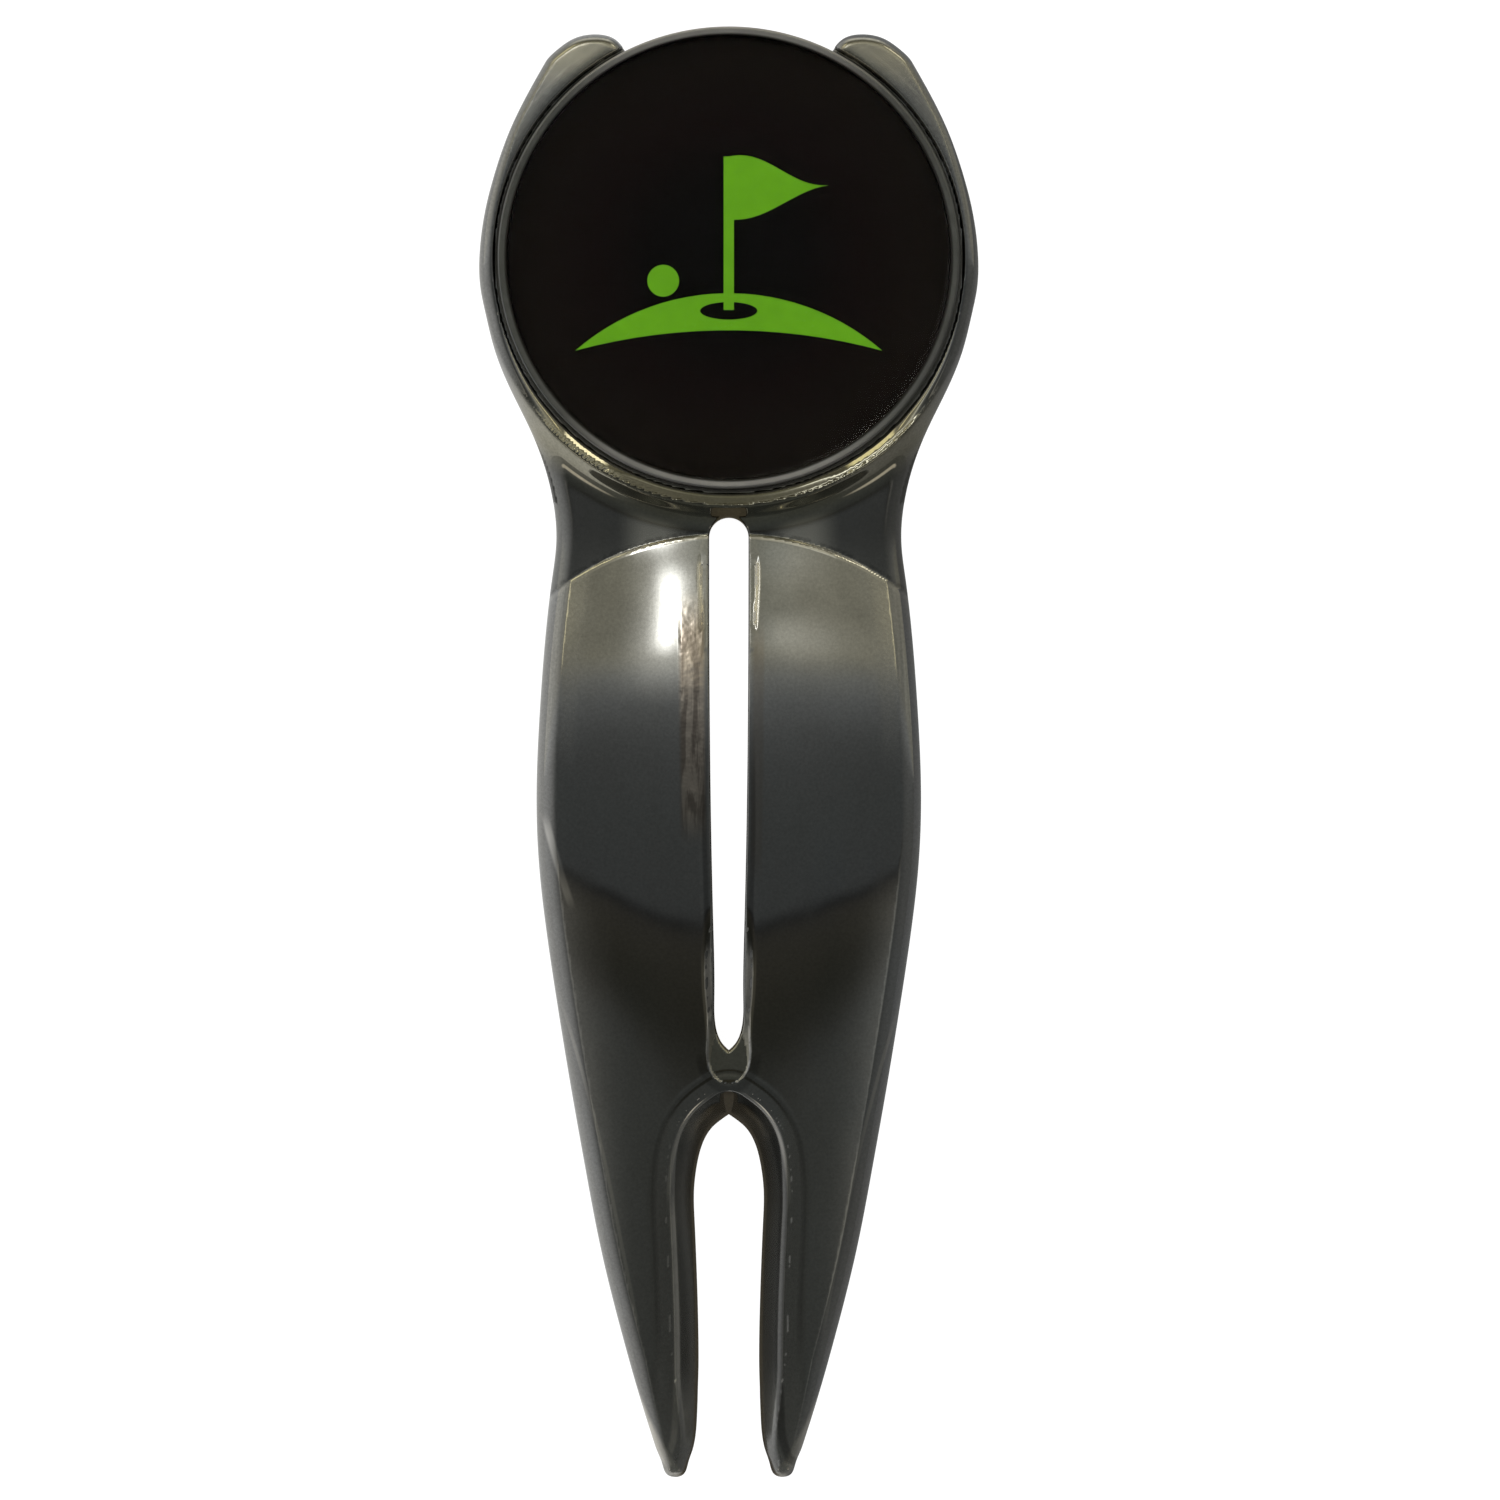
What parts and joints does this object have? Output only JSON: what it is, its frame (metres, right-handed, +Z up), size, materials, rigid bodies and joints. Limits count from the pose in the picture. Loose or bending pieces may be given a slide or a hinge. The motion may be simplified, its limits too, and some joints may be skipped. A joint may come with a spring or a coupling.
{
  "type": "divot repair tool",
  "caption": "Two-pronged divot repair tool with a slotted grip and a round head pocket that holds a lift-off magnetic ball marker.",
  "frame": {"origin": "middle of the footprint on the rest plane, with the tool lying on its flat back", "axes": "+Z up out of the marker's face, +Y from the prongs to the head along the tool, +X across it"},
  "size_m": [0.027, 0.0786, 0.0047],
  "materials": {
    "gunmetal_plating": "polished black-nickel plating on zinc die casting",
    "nickel_magnet": "nickel-plated sintered magnet",
    "adhesive": "cured epoxy",
    "marker_steel": "dark nickel-plated pressed steel",
    "black_print": "printed black disc",
    "green_print": "printed green ink",
    "clear_resin": "clear domed epoxy resin"
  },
  "bodies": {
    "tool": {"tool_body": "gunmetal_plating", "magnet": "nickel_magnet", "magnet_adhesive": "adhesive"},
    "marker": {"marker_cup": "marker_steel", "marker_insert": "black_print", "marker_emblem": "green_print", "marker_dome": "clear_resin"}
  },
  "joints": [
    {"name": "marker_lift", "type": "slide", "parent": "tool", "child": "marker", "axis": [0, 0, 1], "range_m": [0, 0.015]}
  ]
}
